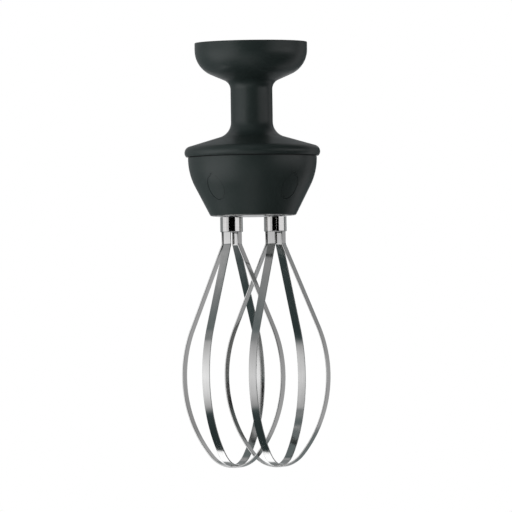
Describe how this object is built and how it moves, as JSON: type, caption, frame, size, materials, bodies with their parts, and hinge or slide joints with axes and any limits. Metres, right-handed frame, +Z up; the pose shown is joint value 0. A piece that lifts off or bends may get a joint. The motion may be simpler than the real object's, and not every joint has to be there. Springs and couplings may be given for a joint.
{
  "type": "immersion blender whisk attachment",
  "caption": "Twin balloon whisk head for a stick blender: a collar and neck over a gear case that turns crossed steel strip loops in opposite directions.",
  "frame": {"origin": "centre of the collar's mouth, where the motor unit enters", "axes": "+Z up the socket's axis towards the motor unit, the whisks side by side along X, front towards -Y"},
  "size_m": [0.0892, 0.0814, 0.2552],
  "materials": {
    "housing_plastic": "satin moulded plastic",
    "seal_rubber": "matt",
    "screw_steel": "zinc plated",
    "plate_aluminium": "die cast",
    "plate_steel": "fine brushed",
    "bronze": "sintered",
    "shaft_steel": "ground",
    "gear_nylon": "moulded",
    "hub_steel": "turned",
    "ferrule_steel": "polished",
    "strip_steel": "rolled and polished along its length"
  },
  "bodies": {
    "head": {"upper_housing": "housing_plastic", "gear_case": "housing_plastic", "case_gasket": "seal_rubber", "case_screws": "screw_steel", "screw_plugs": "housing_plastic", "gear_plate": "plate_aluminium", "gear_plate_screws": "screw_steel", "bottom_plate": "plate_steel", "bottom_plate_screws": "screw_steel", "upper_shaft_bush": "bronze", "lower_shaft_bush": "bronze", "drive_seal": "seal_rubber", "idler_axle": "shaft_steel", "left_upper_bush": "bronze", "right_upper_bush": "bronze", "left_lower_bush": "bronze", "right_lower_bush": "bronze", "left_spindle_seal": "seal_rubber", "right_spindle_seal": "seal_rubber"},
    "drive": {"drive_coupling": "shaft_steel", "coupling_pin": "shaft_steel", "drive_shaft": "shaft_steel", "shaft_clip": "shaft_steel", "drive_pinion": "shaft_steel"},
    "idler": {"idler_gear": "gear_nylon"},
    "left_whisk": {"left_spindle": "shaft_steel", "left_whisk_gear": "gear_nylon", "left_whisk_hub": "hub_steel", "left_ferrule": "ferrule_steel", "left_outer_loop": "strip_steel", "left_inner_loop": "strip_steel"},
    "right_whisk": {"right_spindle": "shaft_steel", "right_whisk_gear": "gear_nylon", "right_whisk_hub": "hub_steel", "right_ferrule": "ferrule_steel", "right_outer_loop": "strip_steel", "right_inner_loop": "strip_steel"}
  },
  "joints": [
    {"name": "left_whisk_spin", "type": "hinge", "parent": "head", "child": "left_whisk", "pos_m": [-0.01312, 0, 0], "axis": [0, 0, 1], "continuous": true},
    {"name": "right_whisk_spin", "type": "hinge", "parent": "head", "child": "right_whisk", "pos_m": [0.01312, 0, 0], "axis": [0, 0, 1], "continuous": true},
    {"name": "idler_spin", "type": "hinge", "parent": "head", "child": "idler", "pos_m": [-0.0027, 0.0178, 0], "axis": [0, 0, 1], "continuous": true},
    {"name": "drive_spin", "type": "hinge", "parent": "head", "child": "drive", "pos_m": [0, 0, 0], "axis": [0, 0, 1], "continuous": true}
  ],
  "couplings": [
    {"joint": "right_whisk_spin", "follows": "left_whisk_spin", "ratio": -1},
    {"joint": "idler_spin", "follows": "left_whisk_spin", "ratio": -1.75},
    {"joint": "drive_spin", "follows": "left_whisk_spin", "ratio": 5.25}
  ]
}
